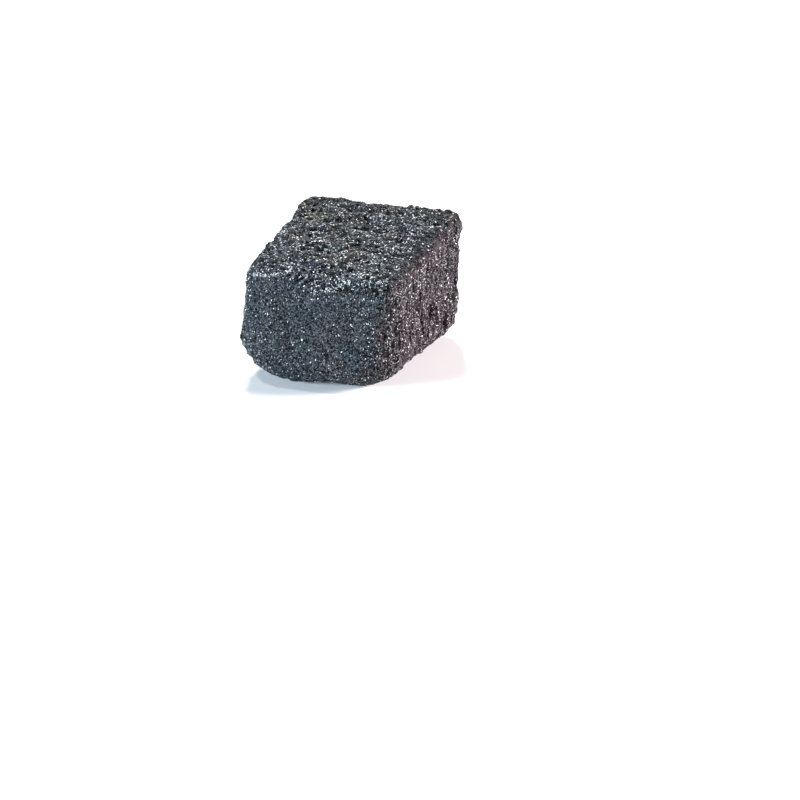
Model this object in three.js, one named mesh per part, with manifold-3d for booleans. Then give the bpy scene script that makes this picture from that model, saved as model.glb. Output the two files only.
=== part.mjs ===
// A bar of pressed black sesame: one hand-cut block of ground seed, a little taller and wider at its
// back than at its front, with soft corners, a rough torn top, drag marks down its sides, pits and crumbs.
// Millimetres. X runs along the front face, Y from front to back, Z up. It stands flat on Z = 0.

import * as THREE from "three";
import { ImprovedNoise } from "three/addons/math/ImprovedNoise.js";
import { MeshSurfaceSampler } from "three/addons/math/MeshSurfaceSampler.js";
import { mergeVertices } from "three/addons/utils/BufferGeometryUtils.js";
import Module from "manifold-3d";

// Driving dimensions: the mean block, before its corners are pushed out of true.
const WIDTH = 22.0;
const DEPTH = 24.8;
const HEIGHT = 16.8;

// Each corner: which one it is (-1 or 1 along X, Y and Z), how far it lies from the mean block's own
// corner, and the radius that it is rounded to.
const CORNERS = [
  { at: [-1, -1, -1], push: [-0.7, -1.8, 0], round: 6.5 },
  { at: [1, -1, -1], push: [-0.85, -0.95, 0], round: 5.6 },
  { at: [-1, 1, -1], push: [0.5, -0.65, 0], round: 2.9 },
  { at: [1, 1, -1], push: [0.65, 1.05, 0], round: 3.6 },
  { at: [-1, -1, 1], push: [0.75, 0.85, -0.9], round: 2.9 },
  { at: [1, -1, 1], push: [-0.35, 0.7, -1.5], round: 1.8 },
  { at: [-1, 1, 1], push: [-0.35, -0.2, 1.25], round: 3.3 },
  { at: [1, 1, 1], push: [0.6, 0.55, 0.9], round: 1.4 },
];

// The skin's grid: how many cells run along each direction, and how much they crowd towards the edges.
const CELLS = { x: 27, y: 31, z: 21 };
const EDGE_CROWDING = 0.18;

// Parts of the skin, each as the share that a place belongs to it, told by the way it faces.
const EVERYWHERE = () => 1;
const TOP = (normal) => Math.max(0, normal.z) ** 2;
const LEFT_AND_RIGHT = (normal) => normal.x ** 2;
const FRONT_AND_BACK = (normal) => normal.y ** 2;

// Relief that covers the skin: the size of one swell along X, Y and Z, its full height, and the part
// of the skin that it lies on. Each takes its own stretch of the noise, told by its shift.
const SWELLS = {
  slowUndulation: { lengths: [8, 8, 8], height: 0.45, on: EVERYWHERE, shift: 3.1 },
  lumps: { lengths: [2.4, 2.4, 2.4], height: 0.45, on: EVERYWHERE, shift: 17.7 },
  grain: { lengths: [0.9, 0.9, 0.9], height: 0.5, on: EVERYWHERE, shift: 29.2 },
  tornRidges: { lengths: [4.2, 1.3, 1.3], height: 1.3, on: TOP, shift: 41.3 },
  crags: { lengths: [1.1, 0.8, 0.8], height: 0.8, on: TOP, shift: 47.6 },
  dragMarks: { lengths: [1.2, 1.2, 4.6], height: 0.85, on: LEFT_AND_RIGHT, shift: 57.9 },
  faintDragMarks: { lengths: [1.6, 1.6, 5.0], height: 0.3, on: FRONT_AND_BACK, shift: 71.5 },
};
const RELIEF_STARTS = 1.6; // height above the flat base at which the relief has its full depth

// Single hollows (depth above 0) and rises (below 0), centred on a place in the mean block.
const DENTS = {
  chippedFrontEdge: { at: [0.3, -0.97, 0.97], reach: [4.6, 1.8, 1.8], depth: 0.6 },
  lipOnFrontEdge: { at: [-0.72, -0.97, 0.97], reach: [2.2, 1.3, 1.3], depth: -0.3 },
  hollowInFront: { at: [0.1, -1, 0.2], reach: [5.5, 5.5, 4], depth: 0.25 },
  hollowAcrossTop: { at: [0.1, 0.3, 1], reach: [6, 3.2, 3], depth: 0.45 },
  riseAtBackLeft: { at: [-0.55, 0.92, 1], reach: [3.6, 3, 3], depth: -0.35 },
  riseAlongBackEdge: { at: [0.35, 1, 1], reach: [5, 2.6, 2], depth: -0.2 },
  hollowInRightSide: { at: [1, 0, -0.1], reach: [3, 5, 5], depth: 0.2 },
  bulgeAtFrontFoot: { at: [-0.15, -1, -0.9], reach: [4.4, 5, 4], depth: -0.95 },
};

// Bits of seed. Crumbs stand proud of the skin, and pits are where a bit came out. The largest come
// first, size is from most to least, and proud is how far a bit's centre stands above the skin, as a
// share of its size. Each bit is stretched along the way that the knife dragged.
const SEED = 2024;
const CRUMBS = { count: 46, most: 1.2, least: 0.7, gap: 2.6, proud: -0.1, stretch: 1.25 };
const PITS = { count: 34, most: 1.3, least: 0.8, gap: 3.0, proud: 0.2, stretch: 1.7 };
const BIT_UNEVENNESS = 0.25; // share by which each point of a bit lies nearer or further than its size
const CLEAR_OF_BASE = 1.8; // bits keep this far above the table
const CLEAR_OF_PITS = 1.5; // crumbs keep this far from a pit's centre, so that none seals it

// Crumbs that break the outline of the back edge: where each stands along it, from -1 to 1.
const EDGE_CRUMBS_ALONG = [-0.8, 0.36];
const EDGE_CRUMB_SIZE = 1.0;

const half = new THREE.Vector3(WIDTH / 2, DEPTH / 2, HEIGHT / 2);
const noise = new ImprovedNoise();
const random = () => THREE.MathUtils.seededRandom();
const wasm = await Module();
wasm.setup();

// A mix of the eight corners' values at a place in the mean block, each axis running from -1 to 1.
function mixCorners(place, valueOf) {
  return CORNERS.reduce((sum, corner) => {
    const [x, y, z] = corner.at;
    const weight = ((1 + x * place.x) * (1 + y * place.y) * (1 + z * place.z)) / 8;
    return sum + weight * valueOf(corner);
  }, 0);
}

// How far the block's corners push a point of the mean block out of true.
function push(point) {
  const place = point.clone().divide(half);
  return new THREE.Vector3(...[0, 1, 2].map((axis) => mixCorners(place, (corner) => corner.push[axis])));
}

// How far the skin stands out at a point of the mean block whose surface faces along normal.
function relief(point, normal) {
  let out = 0;
  for (const { lengths, height, on, shift } of Object.values(SWELLS)) {
    const [x, y, z] = point.toArray().map((value, axis) => value / lengths[axis] + shift);
    out += 0.5 * height * on(normal) * noise.noise(x, y, z);
  }
  for (const { at, reach, depth } of Object.values(DENTS)) {
    const centre = new THREE.Vector3(...at).multiply(half);
    const away = point.clone().sub(centre).divide(new THREE.Vector3(...reach));
    out -= depth * Math.exp(-away.lengthSq());
  }
  return out * THREE.MathUtils.smoothstep(point.z + half.z, 0, RELIEF_STARTS);
}

// The skin's point for a point of the box around the mean block: the corners' radii round it, the
// relief moves it in or out, and the corners push it out of true. The base comes to lie on Z = 0.
function skinPoint(onBox) {
  const radius = mixCorners(onBox.clone().divide(half), (corner) => corner.round);
  const inner = half.clone().subScalar(radius);
  const centre = onBox.clone().clamp(inner.clone().negate(), inner);
  const normal = onBox.clone().sub(centre).normalize();
  const rounded = centre.addScaledVector(normal, radius);
  const point = rounded.clone().add(push(rounded)).addScaledVector(normal, relief(rounded, normal));
  point.z += half.z;
  return { point, normal };
}

// Crowds the grid's lines towards the edges, where the skin bends.
function crowd(share) {
  return share * (1 + EDGE_CROWDING * (1 - share * share));
}

// Keeps only the positions of a geometry, with shared vertices, so that it is one closed mesh.
function closed(geometry) {
  geometry.deleteAttribute("normal");
  geometry.deleteAttribute("uv");
  return mergeVertices(geometry);
}

// The block's skin, as one closed mesh.
function skinGeometry() {
  const skin = closed(new THREE.BoxGeometry(WIDTH, DEPTH, HEIGHT, CELLS.x, CELLS.y, CELLS.z));
  const position = skin.attributes.position;
  for (let i = 0; i < position.count; i++) {
    const share = new THREE.Vector3().fromBufferAttribute(position, i).divide(half);
    const onBox = new THREE.Vector3(...share.toArray().map(crowd)).multiply(half);
    position.setXYZ(i, ...skinPoint(onBox).point);
  }
  return skin;
}

// Places on the skin, evenly spread: each at least gap from the others, and clear of the base.
function scatter(skin, { count, gap }, favour) {
  const mesh = new THREE.Mesh(skin.toNonIndexed());
  mesh.geometry.computeVertexNormals();
  const normals = mesh.geometry.attributes.normal;
  const weights = new Float32Array(normals.count);
  for (let i = 0; i < normals.count; i++) {
    weights[i] = favour(new THREE.Vector3().fromBufferAttribute(normals, i));
  }
  mesh.geometry.setAttribute("weight", new THREE.BufferAttribute(weights, 1));
  const sampler = new MeshSurfaceSampler(mesh).setWeightAttribute("weight");
  sampler.setRandomGenerator(random).build();
  const places = [];
  for (let tries = 0; places.length < count && tries < count * 100; tries++) {
    const place = { point: new THREE.Vector3(), normal: new THREE.Vector3() };
    sampler.sample(place.point, place.normal);
    const crowded = places.some((other) => other.point.distanceTo(place.point) < gap);
    if (place.point.z > CLEAR_OF_BASE && !crowded) places.push(place);
  }
  return places;
}

// A closed mesh as a solid to join and cut.
function solidOf(geometry) {
  const vertProperties = new Float32Array(geometry.attributes.position.array);
  const triVerts = new Uint32Array(geometry.index.array);
  return new wasm.Manifold(new wasm.Mesh({ numProp: 3, vertProperties, triVerts }));
}

// A solid's vertices and triangles as a geometry.
function geometryOf(solid) {
  const { numProp, numVert, vertProperties, triVerts } = solid.getMesh();
  const points = new Float32Array(numVert * 3);
  for (let i = 0; i < numVert; i++) {
    points.set(vertProperties.subarray(i * numProp, i * numProp + 3), i * 3);
  }
  const geometry = new THREE.BufferGeometry();
  geometry.setAttribute("position", new THREE.BufferAttribute(points, 3));
  geometry.setIndex(new THREE.BufferAttribute(new Uint32Array(triVerts), 1));
  return geometry;
}

// One uneven bit of seed at a place on the skin, turned at random and then stretched: along X where
// the skin faces up, and up and down on the sides.
function bitSolid({ point, normal }, size, { proud, stretch }) {
  const bit = closed(new THREE.IcosahedronGeometry(size / 2, 0));
  const position = bit.attributes.position;
  const turn = new THREE.Euler(...[0, 1, 2].map(() => 2 * Math.PI * random()));
  const drag = normal.z > Math.SQRT1_2 ? new THREE.Vector3(stretch, 1, 1) : new THREE.Vector3(1, 1, stretch);
  const centre = point.clone().addScaledVector(normal, proud * size);
  for (let i = 0; i < position.count; i++) {
    const corner = new THREE.Vector3().fromBufferAttribute(position, i).applyEuler(turn);
    corner.multiplyScalar(1 + BIT_UNEVENNESS * (2 * random() - 1));
    position.setXYZ(i, ...corner.multiply(drag).add(centre));
  }
  return solidOf(bit);
}

// Bits at the given places, the largest first.
function bitSolids(places, kind) {
  return places.map((place, i) => {
    const size = THREE.MathUtils.lerp(kind.most, kind.least, Math.sqrt(i / places.length));
    return bitSolid(place, size, kind);
  });
}

// The whole bar: the block, with pits cut in and crumbs fused on.
function barGeometry() {
  THREE.MathUtils.seededRandom(SEED);
  const skin = skinGeometry();
  const pitPlaces = scatter(skin, PITS, (normal) => 0.4 + LEFT_AND_RIGHT(normal));
  const clearOfPits = ({ point }) => pitPlaces.every((pit) => pit.point.distanceTo(point) > CLEAR_OF_PITS);
  const crumbPlaces = scatter(skin, CRUMBS, (normal) => 0.3 + TOP(normal)).filter(clearOfPits);
  const pits = bitSolids(pitPlaces, PITS);
  const crumbs = bitSolids(crumbPlaces, CRUMBS);
  for (const along of EDGE_CRUMBS_ALONG) {
    const edge = new THREE.Vector3(along, 1, 1).multiply(half);
    crumbs.push(bitSolid(skinPoint(edge), EDGE_CRUMB_SIZE, CRUMBS));
  }
  const pitted = pits.reduce((solid, pit) => solid.subtract(pit), solidOf(skin));
  return geometryOf(crumbs.reduce((solid, crumb) => solid.add(crumb), pitted));
}

const geometry = barGeometry();
geometry.computeBoundingBox();
const { min, max } = geometry.boundingBox;
geometry.translate(-(min.x + max.x) / 2, -(min.y + max.y) / 2, -min.z);
geometry.computeVertexNormals();

const sesame = new THREE.MeshStandardMaterial({ color: 0x2b3138, roughness: 0.62, metalness: 0 });
const bar = new THREE.Mesh(geometry, sesame);
bar.name = "sesame_bar";

const group = new THREE.Group();
group.add(bar);
export default group;
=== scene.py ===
"""The looks of a bar of pressed black sesame: one hand-cut block of ground seed.

The body takes the solid's form and adds the relief of the pressed meal. Grey, black and pale grains of the
ground seed, coarse grains, glossy hull flakes and a few kernel bits are set into it, each kind as one mesh.
Meshes are worked out in millimetres, with X along the front face, Y from front to back and Z up, and are
scaled to metres at the end.
"""

import math
from collections import namedtuple

import bmesh
import bpy
import numpy as np
from mathutils import Matrix, Vector, noise
from mathutils.kdtree import KDTree

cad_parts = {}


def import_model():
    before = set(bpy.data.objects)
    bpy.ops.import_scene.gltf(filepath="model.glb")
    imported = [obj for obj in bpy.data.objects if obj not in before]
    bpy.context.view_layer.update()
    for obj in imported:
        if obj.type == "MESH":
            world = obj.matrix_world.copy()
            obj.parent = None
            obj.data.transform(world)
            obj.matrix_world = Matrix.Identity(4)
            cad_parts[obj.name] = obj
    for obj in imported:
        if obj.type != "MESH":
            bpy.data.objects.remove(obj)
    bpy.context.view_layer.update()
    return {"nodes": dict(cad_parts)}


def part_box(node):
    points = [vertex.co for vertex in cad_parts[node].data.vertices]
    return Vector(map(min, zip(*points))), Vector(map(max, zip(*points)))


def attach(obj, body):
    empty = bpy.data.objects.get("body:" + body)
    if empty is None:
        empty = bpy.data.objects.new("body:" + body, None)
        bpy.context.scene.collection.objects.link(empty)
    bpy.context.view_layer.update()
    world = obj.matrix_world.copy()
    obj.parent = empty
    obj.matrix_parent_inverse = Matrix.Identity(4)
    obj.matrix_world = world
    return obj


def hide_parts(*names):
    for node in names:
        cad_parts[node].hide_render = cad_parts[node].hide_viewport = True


MM = 0.001
NODE = "sesame_bar"
SEED = 1207

# The view: the camera's turn about the block, its height and distance, and how far right of and above the
# middle of the picture the block's origin comes.
VIEW_AZIMUTH = math.radians(20.57)
VIEW_ELEVATION = math.radians(24.0)
VIEW_DISTANCE = 427.5
ORIGIN_RIGHT = -6.75
ORIGIN_UP = 5.9
LENS = 144.0
CLIP_START = 0.01

# The lights: places and sizes in metres, power in watts, the spot that they face, and the even light from
# all round.
LIGHTS = {
    "key": dict(place=(-0.18, 0.33, 0.32), size=0.09, power=2.6, colour=(1.0, 0.98, 0.97)),
    "top_glint": dict(place=(-0.16, -0.08, 0.46), size=0.05, power=0.6, colour=(1.0, 1.0, 0.97)),
    "front_fill": dict(place=(-0.34, -0.40, 0.14), size=0.12, power=7.1, colour=(0.72, 0.87, 1.0)),
    "right_fill": dict(place=(0.43, 0.12, 0.15), size=0.12, power=6.9, colour=(1.0, 0.92, 0.94)),
}
LIGHTS_FACE = (0, 0, 0.008)
WORLD_STRENGTH = 0.08

# The floor: half its width in metres, how far it lies below the base in millimetres, and its shade.
FLOOR_HALF_WIDTH = 3.0
FLOOR_DROP = 0.02
FLOOR_SHADE = 0.82

# The body's mesh: the spacing of its points, how many times they are evened out, and how far each time.
BODY_VOXEL = 0.178
BODY_SMOOTHING = 7
BODY_SMOOTH_FACTOR = 0.5

# How straight the skin faces a way, from 0 to 1: where it starts to count as that face, and where it fully
# does. The painted pink light on the right side has a wider reach than the side that it lies on.
FACING = dict(top=(0.4, 0.85), sides=(0.45, 0.9), under=(0.5, 0.9), painted_rose_light=(0.3, 0.9))

# The body's relief: the size of what makes it, along X, Y and Z, a shift that makes each noise its own, and
# its full height. The meal stands a little out of the solid's skin all over, so that its hollows come back to
# it. Sharpness is how steeply a ridge falls from its crest, and threshold how strong the noise is where a pit
# starts. The meal's cells are crumbs: edge is how far the crack round each one reaches into it, as a share of
# its size, and level is the part of a crumb's height that lies below the skin.
RAISED = 0.04
# How deep below the raised skin the painted shade in the meal's hollows grows darkest.
HOLLOW_SHADE_DEPTH = 0.2
RIDGE_TURN = math.radians(14)  # the top's ridges run along X, turned by this much towards the back
RIDGES = dict(lengths=(1.2, 0.5, 0.5), shift=11.3, height=0.30, sharpness=4)
LUMPS = dict(lengths=(0.9, 0.6, 0.6), shift=23.9, height=0.08)
DRAGS = dict(lengths=(0.45, 0.45, 1.8), shift=37.1, height=0.32)
PITS = dict(lengths=(0.5, 0.5, 0.5), shift=5.7, threshold=0.28, depth=0.5)
MEAL = dict(size=0.36, shift=3.3, edge=(0.0, 0.4), level=0.6, height=0.06)
BASE_CLEAR = 0.8  # height above the base at which the relief has its full depth
UNDER_DEPTH = 0.12  # how deep the underside's fine hollows are
WORN_CALM = 0.6  # how much of the relief is rubbed away where an edge is worn

# How torn the block is, up to 1: on the front, how much more on the top and of that on the sides, how much
# more where an edge is broken, how much less on the smooth patch, the height of a slow drift, and the least.
TORN = dict(front=0.44, top=0.5, sides=0.9, broken=0.6, patch=0.25, drift=0.3, least=0.15)
TORN_DRIFT = dict(lengths=(2.2, 2.2, 2.2), shift=61.7)

# Marks that show one by one: where each is, how far it reaches along X, Y and Z, and how high it stands.
MARKS = {
    "pit low on the front": dict(place=(-3.1, -12.8, 5.8), reach=(0.5, 0.7, 0.3), height=-0.22),
    "pit in the front's middle": dict(place=(-1.1, -12.5, 6.9), reach=(0.6, 0.7, 0.3), height=-0.22),
    "pit on the front's right": dict(place=(2.0, -12.7, 5.4), reach=(0.3, 0.7, 0.5), height=-0.22),
    "chip in the front edge's left": dict(place=(-0.5, -11.2, 14.6), reach=(0.8, 0.8, 0.3), height=-0.22),
    "chip in the front edge's middle": dict(place=(3.8, -10.9, 14.3), reach=(0.8, 0.8, 0.3), height=-0.22),
    "slot on the right side": dict(place=(10.4, 2.5, 6.4), reach=(0.7, 0.25, 0.6), height=-0.6),
    "slot low on the right side": dict(place=(11.0, 8.7, 3.1), reach=(0.7, 0.3, 0.5), height=-0.7),
    "slot at the back of the right side": dict(place=(10.8, 9.5, 6.3), reach=(0.7, 0.25, 0.6), height=-0.6),
    "slot high on the right side": dict(place=(11.05, 7.1, 12.9), reach=(0.7, 0.22, 0.7), height=-0.6),
    "groove on the top's left": dict(place=(-4.9, 1.1, 16.9), reach=(1.3, 0.3, 0.6), height=-0.5),
    "groove in the top's middle": dict(place=(0.2, -1.4, 16.7), reach=(1.1, 0.28, 0.6), height=-0.5),
}

# Stretches of the edges, through some places and reaching equally far all round. The painted glint is how
# strongly light glinting on each is painted in with paler grains, wear and shade is how much it is rubbed
# down and darkened with painted shade, and olive is how far its colour turns to olive.
CREST = dict(
    through=[(-8.7, -11.35, 14.78), (-6.8, -11.61, 14.98), (-4.9, -11.2, 15.42), (-3.8, -10.6, 15.55)],
    reach=0.36,
    height=0.3,
    painted_glint=1.0,
)
CHIPPED_EDGE = dict(
    through=[(-0.3, -11.4, 14.2), (1.9, -11.3, 14.2), (4.6, -9.8, 15.4), (7.8, -10.0, 15.5)],
    reach=1.25,
    painted_glint=0.64,
)
RIGHT_EDGE = dict(through=[(9.3, -8.0, 15.4), (10.1, 7.5, 16.5)], reach=1.1, wear_and_shade=1.0)
BACK_EDGE = dict(
    through=[(-9.6, 8.2, 17.5), (-5.5, 10.1, 17.9), (0.0, 10.3, 17.9), (6.0, 10.8, 17.8), (10.6, 11.0, 17.2)],
    reach=1.6,
    wear_and_shade=0.8,
    olive=0.3,
)
SMOOTH_PATCH = dict(place=(0.0, -12.3, 8.6), reach=(6.0, 2.0, 4.2))
OLIVE_PATCH = dict(place=(-6.3, 5.6, 17.1), reach=(2.2, 1.7, 1.5))

# Where the fine grains lie: how many places are drawn to pick from, the least from one to the next, the most
# that there are in all and of a kind, which keeps a kind below 200,000 triangles, and the relief that counts
# as a hollow and as high ground.
PLACES = 300000
GRAIN_GAP = 0.162
GRAIN_COUNT = 60000
MOST_OF_A_KIND = 24900
HOLLOW_TO_HIGH = (-0.05, 0.07)

# The pale grains, partly the kernel's own pale meal and partly painted glints, have a gap of their own and a
# share of what stands apart by it, which is made up of a part in the hollows and what high ground adds, as a
# painted highlight on the ridges. Dark spots lose some of them.
PALE_GAP = 0.27
PALE_SHARE = 1.35
PALE_IN_HOLLOWS = 0.25
PALE_HIGHLIGHT_ON_HIGH = 1.1
DARK_LOSS = 0.8

# The black grains' shares, which add up: within the rim of a pale grain, in a hollow, as painted shade, where
# the block is torn, and in the dark spots: the pocks, which have their own size and edge, and the worn edges,
# where they are painted shade.
RIM = 0.24
BESIDE_SHARE = 0.15
HOLLOW_SHADE_SHARE = 0.35
TORN_SHARE = 0.42
POCK_SHARE = 0.6
POCKS = dict(lengths=(0.45, 0.45, 0.45), shift=71.3, edge=(0.06, 0.18))

# What is set into the body. Size is from least to most across, proud is how far the middle of each stands
# above the skin as a share of its size, stretch and flat are its length and thickness as a share of its
# size, turn is how loosely it lies along the way that the knife dragged, and sides is how many it has.
GRAINS = {
    "grey_grains": dict(size=(0.13, 0.22), proud=(-0.3, -0.1), stretch=1.9, flat=0.55, turn=0.4, sides=8),
    "black_grains": dict(size=(0.13, 0.25), proud=(-0.35, -0.15), stretch=1.9, flat=0.55, turn=0.4, sides=8),
    "pale_grains": dict(size=(0.12, 0.21), proud=(-0.2, 0.1), stretch=2.0, flat=0.65, turn=0.35, sides=8),
    "coarse_grains": dict(size=(0.32, 0.52), proud=(-0.42, -0.28), stretch=1.3, flat=0.8, turn=0.4, sides=80),
    "hull_flakes": dict(size=(0.17, 0.30), proud=(-0.05, 0.1), stretch=1.2, flat=0.35, turn=1.0, sides=20),
    "kernel_bits": dict(size=(0.14, 0.28), proud=(-0.1, 0.1), stretch=1.3, flat=0.7, turn=1.0, sides=20),
}
GRAIN_UNEVENNESS = 0.34
GRAIN_TILT = 0.2
GRAIN_GROWTH = (0.92, 1.12)  # the fine grains' size on the cut sides and on the torn top
LEVEL_ENOUGH = 0.7  # how straight up or down the skin faces where the grains lie along the ridges
PAINTED_GLINT_TINT = 0.8  # how much of a grain's random darkening is gone where glints are painted along the crest and chip

# What is scattered by itself: its gap and its count before the smooth and the worn places lose some.
SCATTERED = {
    "coarse_grains": dict(gap=0.8, count=1100),
    "hull_flakes": dict(gap=0.27, count=9500),
    "kernel_bits": dict(gap=3.0, count=70),
}
WORN_LOSS = 0.7

# The meal's colours, a rose grey for painted pink light, and those of the kernel and the brown hull.
BLUE_GREY = (0.049, 0.061, 0.073)
CHARCOAL = (0.058, 0.067, 0.076)
MAUVE_GREY = (0.066, 0.067, 0.073)
# Painted light: the pink light that falls on the right side.
PAINTED_ROSE_GREY = (0.060, 0.048, 0.058)
OLIVE_GREY = (0.105, 0.098, 0.080)
TAN = (0.30, 0.24, 0.17)
CREAM = (0.60, 0.54, 0.45)
RUST = (0.20, 0.10, 0.05)

# Colour ramps: places from 0 to 1, each with a colour or with a multiple of the colour below it. The shades
# of a kind of grain run from its darkest grain to its lightest.
MEAL_DRIFT = [(0.34, BLUE_GREY), (0.52, CHARCOAL), (0.68, MAUVE_GREY)]
MEAL_SPECKS = [(0.3, 0.02), (0.5, 0.3), (0.72, 1.3)]
# Painted shade: the meal darkens from 0.7 of its colour at the edge of a hollow to 0.05 deepest in it.
MEAL_HOLLOW_SHADE = [(0.0, 0.7), (1.0, 0.05)]
MEAL_ROUGHNESS = [(0.35, 0.38), (0.65, 0.6)]
GRAIN_SPECKS = [(0.34, 0.5), (0.66, 1.4)]
GREY_SHADES = [(0.0, 0.22), (0.6, 1.1), (1.0, 3.4)]
BLACK_SHADES = [(0.0, 0.02), (1.0, 0.10)]
COARSE_SHADES = [(0.0, 0.3), (1.0, 1.4)]
FLAKE_SHADES = [(0.0, 0.2), (1.0, 1.0)]
# The pale grains' lightest shades are partly painted glints.
PALE_SHADES = [(0.0, (0.16, 0.17, 0.17)), (0.6, (0.38, 0.39, 0.38)), (1.0, (0.80, 0.80, 0.77))]
PALE_OLIVE = [(0.0, 0.0), (1.0, 0.7)]
KERNEL_SHADES = [(0.0, RUST), (0.4, TAN), (0.9, TAN), (1.0, CREAM)]
KERNEL_SPOTS = [(0.35, 0.6), (0.65, 1.0)]

# The looks of each kind of grain: its shades, how rough it is from its glossy spots to its dull ones, and
# what its shader takes as it is.
GRAIN_LOOKS = {
    "grey_grains": dict(shades=GREY_SHADES, roughness=(0.25, 0.45), Specular_IOR_Level=0.4),
    "black_grains": dict(shades=BLACK_SHADES, roughness=(0.25, 0.45), Specular_IOR_Level=0.02),
    "pale_grains": dict(shades=PALE_SHADES, roughness=(0.18, 0.32), Specular_IOR_Level=0.7),
    "coarse_grains": dict(shades=COARSE_SHADES, roughness=(0.3, 0.5), Specular_IOR_Level=0.3),
    "hull_flakes": dict(
        shades=FLAKE_SHADES,
        roughness=(0.15, 0.3),
        Specular_IOR_Level=0.5,
        Coat_Weight=1.0,
        Coat_Roughness=0.15,
    ),
}

# The block's skin: its points, the way that each faces with the relief and without it, and the relief.
Skin = namedtuple("Skin", "points normals faces relief")


def smoothstep(low, high, value):
    """0 at low and before it, 1 at high and past it, and a smooth rise between."""
    share = np.clip((value - low) / (high - low), 0, 1)
    return share * share * (3 - 2 * share)


def perlin(points, swells):
    """Smooth noise at each point, mostly from -0.7 to 0.7, with swells of the lengths given."""
    places = points / np.array(swells["lengths"]) + swells["shift"]
    return np.array([noise.noise(place) for place in places.tolist()])


def cracks(points, cells):
    """How far each point is from the edge between its cell and the next, in cells of the size given."""
    places = (points / cells["size"] + cells["shift"]).tolist()
    nearest = np.array([noise.voronoi(place)[0][:2] for place in places])
    return nearest[:, 1] - nearest[:, 0]


def near(points, mark):
    """1 at a mark's place, falling smoothly to 0 past its reach."""
    away = (points - mark["place"]) / mark["reach"]
    return np.exp(-(away * away).sum(axis=1))


def near_line(points, line):
    """1 along a line through some places, falling smoothly to 0 past its reach."""
    nearest = np.full(len(points), np.inf)
    for start, end in zip(line["through"], line["through"][1:]):
        way = np.subtract(end, start)
        share = np.clip((points - start) @ way / (way @ way), 0, 1)
        away = (points - start - share[:, None] * way) / line["reach"]
        nearest = np.minimum(nearest, (away * away).sum(axis=1))
    return np.exp(-nearest)


def share_of_faces(normals):
    """How much each point belongs to the top, the three sides other than the front, and the underside."""
    top = smoothstep(*FACING["top"], normals[:, 2])
    sides = smoothstep(*FACING["sides"], np.maximum(np.abs(normals[:, 0]), normals[:, 1]))
    under = smoothstep(*FACING["under"], -normals[:, 2])
    return top, sides, under


def tornness(points, normals):
    """How torn the block is at each point, from the smooth cut front to the rough top."""
    top, sides, _ = share_of_faces(normals)
    broken = np.maximum(near_line(points, CHIPPED_EDGE), near_line(points, CREST))
    drift = TORN["drift"] * perlin(points, TORN_DRIFT) - TORN["patch"] * near(points, SMOOTH_PATCH)
    torn = TORN["front"] + TORN["top"] * np.maximum(top, TORN["sides"] * sides)
    return np.clip(torn + TORN["broken"] * broken + drift, TORN["least"], 1.0)


def most_along(points, lines, quality):
    """The most that any of some lines gives each point of a quality that the lines have."""
    return np.max([line[quality] * near_line(points, line) for line in lines], axis=0)


def painted_glints(points):
    """Painted glints: how much paler each point's grains are along the crest and the chipped edge."""
    return most_along(points, (CHIPPED_EDGE, CREST), "painted_glint")


def worn_and_shaded(points):
    """How much the top's right and back edges are rubbed smoother and darkened with painted shade."""
    return most_along(points, (RIGHT_EDGE, BACK_EDGE), "wear_and_shade")


def olive(points):
    """How far the meal's colour turns from slate to olive at each point."""
    return np.maximum(near(points, OLIVE_PATCH), most_along(points, (BACK_EDGE,), "olive"))


def painted_rose_light(normals):
    """Painted pink light: how far the meal turns to rose by the way it faces, on the right side alone."""
    return smoothstep(*FACING["painted_rose_light"], normals[:, 0])


def body_relief(points, normals):
    """How far the meal stands out of the solid's skin at each point."""
    top, sides, under = share_of_faces(normals)
    turn = np.array(Matrix.Rotation(-RIDGE_TURN, 3, "Z"))
    ridge = 1 - RIDGES["sharpness"] * np.abs(perlin(points @ turn.T, RIDGES))
    lump = perlin(points, LUMPS)
    drag = perlin(points, DRAGS)
    hole = perlin(points, PITS) - PITS["threshold"]
    meal = smoothstep(*MEAL["edge"], cracks(points, MEAL)) - MEAL["level"]
    calm = 1 - WORN_CALM * worn_and_shaded(points)
    rough = calm * tornness(points, normals)
    out = calm * top * RIDGES["height"] / 2 * ridge + RAISED
    out += rough * LUMPS["height"] * lump
    out += calm * sides * DRAGS["height"] * drag
    out -= rough * PITS["depth"] * np.maximum(hole, 0)
    out += rough * MEAL["height"] * meal
    out += CREST["height"] * near_line(points, CREST)
    for mark in MARKS.values():
        out += mark["height"] * near(points, mark)
    out = np.where(under > 0, (1 - under) * out - under * UNDER_DEPTH * np.abs(lump + meal), out)
    return out * np.maximum(smoothstep(0, BASE_CLEAR, points[:, 2]), under)


def points_of(mesh):
    """A mesh's points and the way that each faces, as arrays."""
    points = np.empty(len(mesh.vertices) * 3, np.float32)
    normals = np.empty_like(points)
    mesh.vertices.foreach_get("co", points)
    mesh.vertex_normals.foreach_get("vector", normals)
    return points.reshape(-1, 3).astype(float), normals.reshape(-1, 3).astype(float)


def set_points(mesh, points):
    """Moves a mesh's points."""
    mesh.vertices.foreach_set("co", points.astype(np.float32).ravel())
    mesh.update()


def add_value(mesh, name, values):
    """Gives each point of a mesh a value for its material to read."""
    attribute = mesh.attributes.new(name, "FLOAT", "POINT")
    attribute.data.foreach_set("value", values.astype(np.float32))


def new_object(name, data):
    """An object in the scene for a mesh, a light or a camera."""
    piece = bpy.data.objects.new(name, data)
    bpy.context.scene.collection.objects.link(piece)
    return piece


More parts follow.
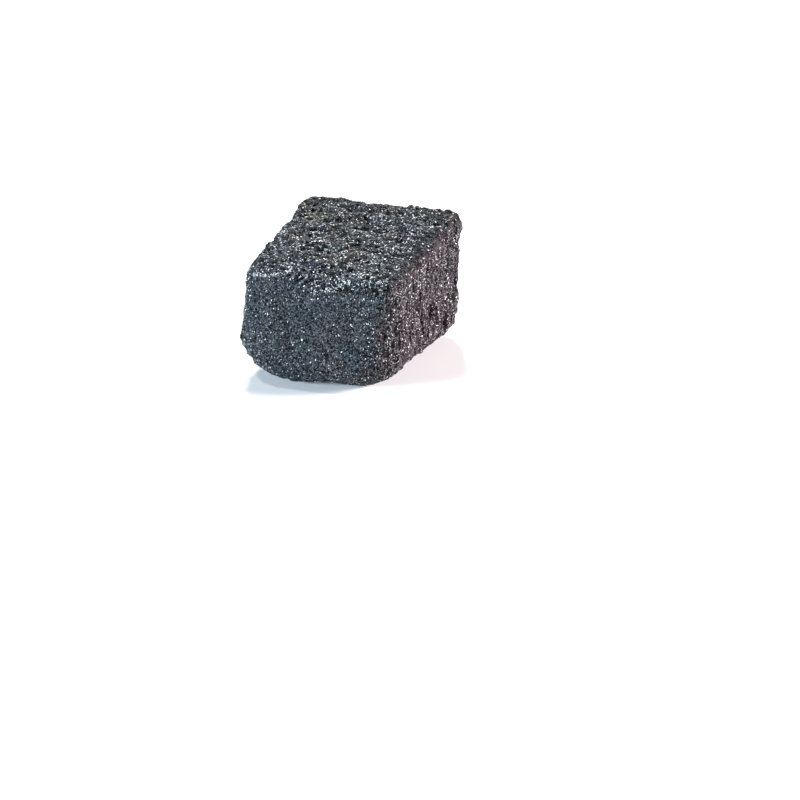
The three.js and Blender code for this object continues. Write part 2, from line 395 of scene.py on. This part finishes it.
def make_body(solid, low, high):
    """The block's body: the solid's form under an even skin of fine points, with the meal's relief."""
    source = solid.data.copy()
    source.transform(Matrix.Scale(1 / MM, 4))
    source.materials.clear()
    draft = new_object("sesame_body_draft", source)
    remesh = draft.modifiers.new("even skin", "REMESH")
    remesh.mode = "VOXEL"
    remesh.voxel_size = BODY_VOXEL
    smooth = draft.modifiers.new("soft facets", "SMOOTH")
    smooth.factor = BODY_SMOOTH_FACTOR
    smooth.iterations = BODY_SMOOTHING
    mesh = bpy.data.meshes.new_from_object(draft.evaluated_get(bpy.context.evaluated_depsgraph_get()))
    bpy.data.objects.remove(draft)
    bpy.data.meshes.remove(source)
    mesh.name = "sesame_body"
    points, faces = points_of(mesh)
    relief = body_relief(points, faces)
    set_points(mesh, np.clip(points + faces * relief[:, None], low, high))
    # Painted shade: how deep in a hollow each point lies, which darkens the meal there.
    add_value(mesh, "hollow_shade", smoothstep(RAISED, RAISED - HOLLOW_SHADE_DEPTH, relief))
    add_value(mesh, "olive", olive(points))
    # Painted light: the pink light that falls on the right side.
    add_value(mesh, "painted_rose_light", painted_rose_light(faces))
    mesh.shade_smooth()
    return new_object("sesame_body", mesh), Skin(*points_of(mesh), faces, relief)


def unit(vectors):
    """Each vector made 1 long."""
    return vectors / np.linalg.norm(vectors, axis=1)[:, None]


def draw_places(mesh, skin, rng):
    """Random places all over a mesh, evenly spread over its area."""
    mesh.calc_loop_triangles()
    corners = np.empty(len(mesh.loop_triangles) * 3, np.int32)
    mesh.loop_triangles.foreach_get("vertices", corners)
    corners = corners.reshape(-1, 3)
    a, b, c = (skin.points[corners[:, i]] for i in range(3))
    areas = np.linalg.norm(np.cross(b - a, c - a), axis=1)
    chosen = corners[rng.choice(len(areas), PLACES, p=areas / areas.sum())]
    shares = rng.dirichlet((1, 1, 1), PLACES)
    drawn = [np.einsum("nk,nk...->n...", shares, values[chosen]) for values in skin]
    return Skin(drawn[0], unit(drawn[1]), unit(drawn[2]), drawn[3])


def tree_of(points):
    """A tree that finds the nearest of some points."""
    tree = KDTree(len(points))
    for i, point in enumerate(points.tolist()):
        tree.insert(point, i)
    tree.balance()
    return tree


def spread(points, gap, count):
    """Indices of the first points that lie at least gap from each other, up to count of them."""
    tree = tree_of(points)
    taken = np.zeros(len(points), bool)
    chosen = []
    for i, point in enumerate(points.tolist()):
        if taken[i]:
            continue
        chosen.append(i)
        if len(chosen) == count:
            break
        for _, j, _ in tree.find_range(point, gap):
            taken[j] = True
    return np.array(chosen)


def deal_fine(skin, rng):
    """Places for the grey, black and pale grains, as indices of the skin's points.

    The pale ones, partly painted glints, stand apart, on high ground as painted highlight and on torn ground.
    The black ones lie beside them and in the hollows, where they are painted shade.
    """
    fine = spread(skin.points, GRAIN_GAP, GRAIN_COUNT)
    points = skin.points[fine]
    torn = tornness(points, skin.faces[fine])
    height = smoothstep(*HOLLOW_TO_HIGH, skin.relief[fine] - RAISED)
    # The dark spots: the random pocks, and the worn edges, whose darkness is painted shade.
    dark = np.maximum(smoothstep(*POCKS["edge"], perlin(points, POCKS)), worn_and_shaded(points))
    draw = rng.random(len(fine))
    apart = np.zeros(len(fine), bool)
    apart[spread(points, PALE_GAP, len(fine))] = True
    pale_share = PALE_SHARE * torn * (PALE_IN_HOLLOWS + PALE_HIGHLIGHT_ON_HIGH * height)
    pale = apart & (draw < pale_share) & (draw > DARK_LOSS * dark)
    # Painted glints: along the crest and the chipped edge most fine grains turn pale.
    pale |= draw < painted_glints(points) ** 2
    palest = tree_of(points[pale])
    beside = np.array([palest.find(point)[2] < RIM for point in points.tolist()])
    # Black grains in the hollows and on the worn edges are painted shade.
    black_share = BESIDE_SHARE * beside + HOLLOW_SHADE_SHARE * (1 - height)
    black_share += torn**2 * (TORN_SHARE + POCK_SHARE * dark)
    black = ~pale & (draw > 1 - black_share)
    dealt = {"grey_grains": ~pale & ~black, "black_grains": black, "pale_grains": pale}
    return {name: fine[chosen][:MOST_OF_A_KIND] for name, chosen in dealt.items()}


def deal(skin, rng):
    """Places for each kind of grain, as indices of the skin's points.

    What is scattered by itself starts at a random place of those drawn, so it doesn't follow the fine grains.
    """
    dealt = deal_fine(skin, rng)
    for name, kind in SCATTERED.items():
        start = rng.integers(len(skin.points) // 2)
        places = start + spread(skin.points[start:], kind["gap"], kind["count"])
        torn = tornness(skin.points[places], skin.faces[places])
        shown = torn * (1 - WORN_LOSS * worn_and_shaded(skin.points[places]))
        dealt[name] = places[rng.random(len(places)) < shown]
    return dealt


def ball(sides):
    """The points of a ball of radius 1 with 8, 20 or 80 flat sides, and its triangles."""
    if sides == 8:
        points = np.concatenate([np.eye(3), -np.eye(3)])
        ring = [(0, 1), (1, 3), (3, 4), (4, 0)]
        return points, np.array([(a, b, 2) for a, b in ring] + [(b, a, 5) for a, b in ring])
    mesh = bpy.data.meshes.new("ball")
    shape = bmesh.new()
    bmesh.ops.create_icosphere(shape, subdivisions={20: 1, 80: 2}[sides], radius=1)
    shape.to_mesh(mesh)
    shape.free()
    points, _ = points_of(mesh)
    triangles = np.array([face.vertices[:] for face in mesh.polygons])
    bpy.data.meshes.remove(mesh)
    return points, triangles


def random_turns(count, rng):
    """Rotation matrices, evenly random, from random unit quaternions."""
    w, x, y, z = unit(rng.normal(size=(count, 4))).T
    rows = [
        [1 - 2 * (y * y + z * z), 2 * (x * y - z * w), 2 * (x * z + y * w)],
        [2 * (x * y + z * w), 1 - 2 * (x * x + z * z), 2 * (y * z - x * w)],
        [2 * (x * z - y * w), 2 * (y * z + x * w), 1 - 2 * (x * x + y * y)],
    ]
    return np.moveaxis(np.array(rows), 2, 0)


def grain_frames(normals, loose, rng):
    """A frame for each grain: about the way that the knife dragged, across it, and about the normal."""
    along_top = np.array([math.cos(RIDGE_TURN), math.sin(RIDGE_TURN), 0])
    upright = np.array([0.0, 0.0, 1.0])
    drag = np.where(np.abs(normals[:, 2:]) > LEVEL_ENOUGH, along_top, upright)
    across = unit(np.cross(normals, drag))
    along = np.cross(across, normals)
    turn = rng.normal(scale=loose, size=(len(normals), 1))
    tilt = rng.normal(scale=GRAIN_TILT, size=(len(normals), 2))
    out = unit(normals + along * tilt[:, :1] + across * tilt[:, 1:])
    along = unit(np.cross(across * np.cos(turn) - along * np.sin(turn), out))
    return np.stack([along, np.cross(out, along), out], axis=2)


def mesh_from(name, points, triangles):
    """A mesh of flat triangles, in millimetres."""
    mesh = bpy.data.meshes.new(name)
    mesh.vertices.add(len(points))
    mesh.loops.add(len(triangles) * 3)
    mesh.polygons.add(len(triangles))
    mesh.loops.foreach_set("vertex_index", triangles.astype(np.int32).ravel())
    mesh.polygons.foreach_set("loop_start", np.arange(0, len(triangles) * 3, 3, dtype=np.int32))
    set_points(mesh, points)
    mesh.validate()
    mesh.shade_flat()
    return mesh


def make_grains(name, skin, places, low, high, rng):
    """One piece that holds every grain of a kind, each an uneven faceted lump set into the skin."""
    kind = GRAINS[name]
    count = len(places)
    points, normals, faces = (values[places] for values in skin[:3])
    corners, triangles = ball(kind["sides"])
    size = rng.uniform(*kind["size"], count)
    if name not in SCATTERED:
        size *= np.interp(share_of_faces(faces)[0], (0, 1), GRAIN_GROWTH)
    uneven = 1 + GRAIN_UNEVENNESS * rng.uniform(-1, 1, (count, len(corners), 1))
    lumps = np.einsum("nij,nvj->nvi", random_turns(count, rng), corners * uneven)
    lumps *= np.array([kind["stretch"], 1.0, kind["flat"]]) * size[:, None, None] / 2
    frames = grain_frames(normals, kind["turn"], rng)
    centres = points + normals * (rng.uniform(*kind["proud"], count) * size)[:, None]
    placed = np.einsum("nij,nvj->nvi", frames, lumps) + centres[:, None]
    placed = np.clip(placed.reshape(-1, 3), low, high)
    joined = triangles[None] + np.arange(count)[:, None, None] * len(corners)
    mesh = mesh_from(name, placed, joined.reshape(-1, 3))
    # Painted glints: along the crest and the chipped edge the grains lose most of their random darkening.
    tint = 1 - rng.random(count) * (1 - PAINTED_GLINT_TINT * painted_glints(points))
    add_value(mesh, "tint", np.repeat(tint, len(corners)))
    add_value(mesh, "olive", olive(placed))
    # Painted light: the pink light that falls on the right side.
    add_value(mesh, "painted_rose_light", np.repeat(painted_rose_light(faces), len(corners)))
    return new_object(name, mesh)


class Nodes:
    """A material's node tree, with short ways to add what the materials here need."""

    def __init__(self, name):
        self.material = bpy.data.materials.new(name)
        self.material.use_nodes = True
        self.tree = self.material.node_tree
        self.shader = self.tree.nodes["Principled BSDF"]
        self.place = self.add("ShaderNodeTexCoord").outputs["Object"]

    def add(self, kind, **values):
        """A new node with some of its settings."""
        node = self.tree.nodes.new(kind)
        for key, value in values.items():
            setattr(node, key, value)
        return node

    def link(self, source, target):
        """Leads an output to an input."""
        self.tree.links.new(source, target)

    def texture(self, kind, size, **inputs):
        """A texture whose swells or cells have a size in millimetres."""
        texture = self.add(kind)
        texture.inputs["Scale"].default_value = 1 / (size * MM)
        for key, value in inputs.items():
            texture.inputs[key].default_value = value
        self.link(self.place, texture.inputs["Vector"])
        return texture

    def noise(self, size, detail=2.0):
        """Smooth noise."""
        return self.texture("ShaderNodeTexNoise", size, Detail=detail).outputs["Fac"]

    def cells(self, size):
        """A random shade for each grain-like cell."""
        return self.texture("ShaderNodeTexVoronoi", size).outputs["Color"]

    def attribute(self, name):
        """A value that each point of the mesh carries."""
        return self.add("ShaderNodeAttribute", attribute_name=name).outputs["Fac"]

    def ramp(self, factor, stops):
        """Colours or values at places from 0 to 1 along a factor."""
        ramp = self.add("ShaderNodeValToRGB")
        elements = ramp.color_ramp.elements
        while len(elements) < len(stops):
            elements.new(position=0.5)
        for element, (position, colour) in zip(elements, stops):
            element.position = position
            element.color = (*colour, 1) if isinstance(colour, tuple) else (colour, colour, colour, 1)
        self.link(factor, ramp.inputs["Fac"])
        return ramp.outputs["Color"]

    def mix(self, factor, a, b, blend="MIX"):
        """Two colours mixed by a factor."""
        mix = self.add("ShaderNodeMix", data_type="RGBA", blend_type=blend)
        for socket, value in (("Factor_Float", factor), ("A_Color", a), ("B_Color", b)):
            target = next(s for s in mix.inputs if s.identifier == socket)
            if isinstance(value, bpy.types.NodeSocket):
                self.link(value, target)
            else:
                target.default_value = (*value, 1) if isinstance(value, tuple) else value
        return next(s for s in mix.outputs if s.identifier == "Result_Color")

    def multiply(self, a, b):
        """One colour multiplied by another."""
        return self.mix(1.0, a, b, "MULTIPLY")

    def bump(self, height, depth):
        """Fine relief from a height, its full depth in millimetres."""
        bump = self.add("ShaderNodeBump")
        bump.inputs["Distance"].default_value = depth * MM
        self.link(height, bump.inputs["Height"])
        self.link(bump.outputs["Normal"], self.shader.inputs["Normal"])

    def set(self, **values):
        """Puts constants or outputs on the shader's own sockets, named with _ for a space."""
        for key, value in values.items():
            socket = self.shader.inputs[key.replace("_", " ")]
            if isinstance(value, bpy.types.NodeSocket):
                self.link(value, socket)
            else:
                socket.default_value = value


def meal_colour(nodes):
    """The seed's own colour, a slow drift over the block turned olive by a value, and rose by painted pink
    light.
    """
    drift = nodes.ramp(nodes.noise(size=5.0, detail=3.0), MEAL_DRIFT)
    # Painted light: the pink light on the right side turns the colour rose.
    drift = nodes.mix(nodes.attribute("painted_rose_light"), drift, PAINTED_ROSE_GREY)
    return nodes.mix(nodes.attribute("olive"), drift, OLIVE_GREY)


def body_material():
    """Pressed meal between the grains: dark, fine and a little oily, with painted shade in the hollows."""
    nodes = Nodes("pressed_meal")
    speck = nodes.ramp(nodes.cells(size=0.15), MEAL_SPECKS)
    # Painted shade: the meal darkens in its hollows.
    hollow_shade = nodes.ramp(nodes.attribute("hollow_shade"), MEAL_HOLLOW_SHADE)
    colour = nodes.multiply(nodes.multiply(meal_colour(nodes), speck), hollow_shade)
    roughness = nodes.ramp(nodes.noise(size=0.3), MEAL_ROUGHNESS)
    nodes.set(Base_Color=colour, Roughness=roughness, Specular_IOR_Level=0.03)
    nodes.bump(nodes.noise(size=0.09), depth=0.05)
    return nodes.material


def grain_material(name, shades, roughness, **constants):
    """One kind of grain, its shades spread over the grains by their tint.

    Shades that are colours are the grain's own. Shades that are numbers multiply the meal's colour.
    """
    nodes = Nodes(name.removesuffix("s"))
    shade = nodes.ramp(nodes.attribute("tint"), shades)
    if isinstance(shades[0][1], tuple):
        shade = nodes.mix(nodes.ramp(nodes.attribute("olive"), PALE_OLIVE), shade, TAN)
    else:
        shade = nodes.multiply(meal_colour(nodes), shade)
    speck = nodes.ramp(nodes.noise(size=0.12), GRAIN_SPECKS)
    nodes.set(Base_Color=nodes.multiply(shade, speck))
    glossy, dull = roughness
    nodes.set(Roughness=nodes.ramp(nodes.noise(size=0.3), [(0.4, glossy), (0.6, dull)]), **constants)
    nodes.bump(nodes.noise(size=0.07), depth=0.05)
    return nodes.material


def kernel_material():
    """Bits of the pale kernel and of brown hull."""
    nodes = Nodes("kernel")
    colour = nodes.ramp(nodes.attribute("tint"), KERNEL_SHADES)
    spots = nodes.ramp(nodes.noise(size=0.15), KERNEL_SPOTS)
    nodes.set(Base_Color=nodes.multiply(colour, spots), Roughness=0.5)
    nodes.bump(nodes.noise(size=0.07), depth=0.03)
    return nodes.material


def grain_materials():
    """Each kind's material, by the name of its piece."""
    materials = {name: grain_material(name, **look) for name, look in GRAIN_LOOKS.items()}
    materials["kernel_bits"] = kernel_material()
    return materials


def make_floor():
    """A plain pale floor under the block."""
    half = FLOOR_HALF_WIDTH
    height = -FLOOR_DROP * MM
    corners = [(-half, -half, height), (half, -half, height), (half, half, height), (-half, half, height)]
    mesh = bpy.data.meshes.new("floor")
    mesh.from_pydata(corners, [], [(0, 1, 2, 3)])
    floor = new_object("floor", mesh)
    nodes = Nodes("floor")
    nodes.set(Base_Color=(FLOOR_SHADE, FLOOR_SHADE, FLOOR_SHADE, 1), Roughness=0.8)
    mesh.materials.append(nodes.material)


def make_light(name, place, size, power, colour):
    """A square soft light at a place in metres, facing the block."""
    light = bpy.data.lights.new(name, "AREA")
    light.size = size
    light.energy = power
    light.color = colour
    lamp = new_object(name, light)
    lamp.location = place
    aim = Vector(LIGHTS_FACE) - Vector(place)
    lamp.rotation_euler = aim.to_track_quat("-Z", "Y").to_euler()


def make_lights():
    """Light from above and behind, a small one overhead, a cool one in front and a warm one on the right."""
    for name, light in LIGHTS.items():
        make_light(name, **light)
    world = bpy.data.worlds.new("studio")
    world.use_nodes = True
    background = world.node_tree.nodes["Background"]
    background.inputs["Color"].default_value = (1, 1, 1, 1)
    background.inputs["Strength"].default_value = WORLD_STRENGTH
    bpy.context.scene.world = world
    bpy.context.scene.view_settings.view_transform = "Standard"


def make_camera():
    """The camera, looking down on the block from the front and a little from its right."""
    level = math.cos(VIEW_ELEVATION)
    sine = math.sin(VIEW_AZIMUTH)
    cosine = math.cos(VIEW_AZIMUTH)
    back = Vector((sine * level, -cosine * level, math.sin(VIEW_ELEVATION)))
    right = Vector((cosine, sine, 0))
    up = back.cross(right)
    camera = new_object("camera", bpy.data.cameras.new("camera"))
    turn = Matrix((right, up, back)).transposed().to_4x4()
    place = (back * VIEW_DISTANCE - right * ORIGIN_RIGHT - up * ORIGIN_UP) * MM
    camera.matrix_world = Matrix.Translation(place) @ turn
    camera.data.lens = LENS
    camera.data.clip_start = CLIP_START
    bpy.context.scene.camera = camera


def finish_piece(piece, material):
    """Takes a piece from millimetres to metres, gives it its material and sets it on the block."""
    piece.data.transform(Matrix.Scale(MM, 4))
    piece.data.materials.append(material)
    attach(piece, "root")


def main():
    """Builds the body and its grains over the solid, and the floor, lights and camera around them."""
    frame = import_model()
    low, high = (np.array(corner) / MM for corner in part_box(NODE))
    rng = np.random.default_rng(SEED)
    body, skin = make_body(frame["nodes"][NODE], low, high)
    skin = draw_places(body.data, skin, rng)
    pieces = {}
    for name, places in deal(skin, rng).items():
        pieces[name] = make_grains(name, skin, places, low, high, rng)
    finish_piece(body, body_material())
    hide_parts(NODE)
    for name, material in grain_materials().items():
        finish_piece(pieces[name], material)
    make_floor()
    make_lights()
    make_camera()


main()
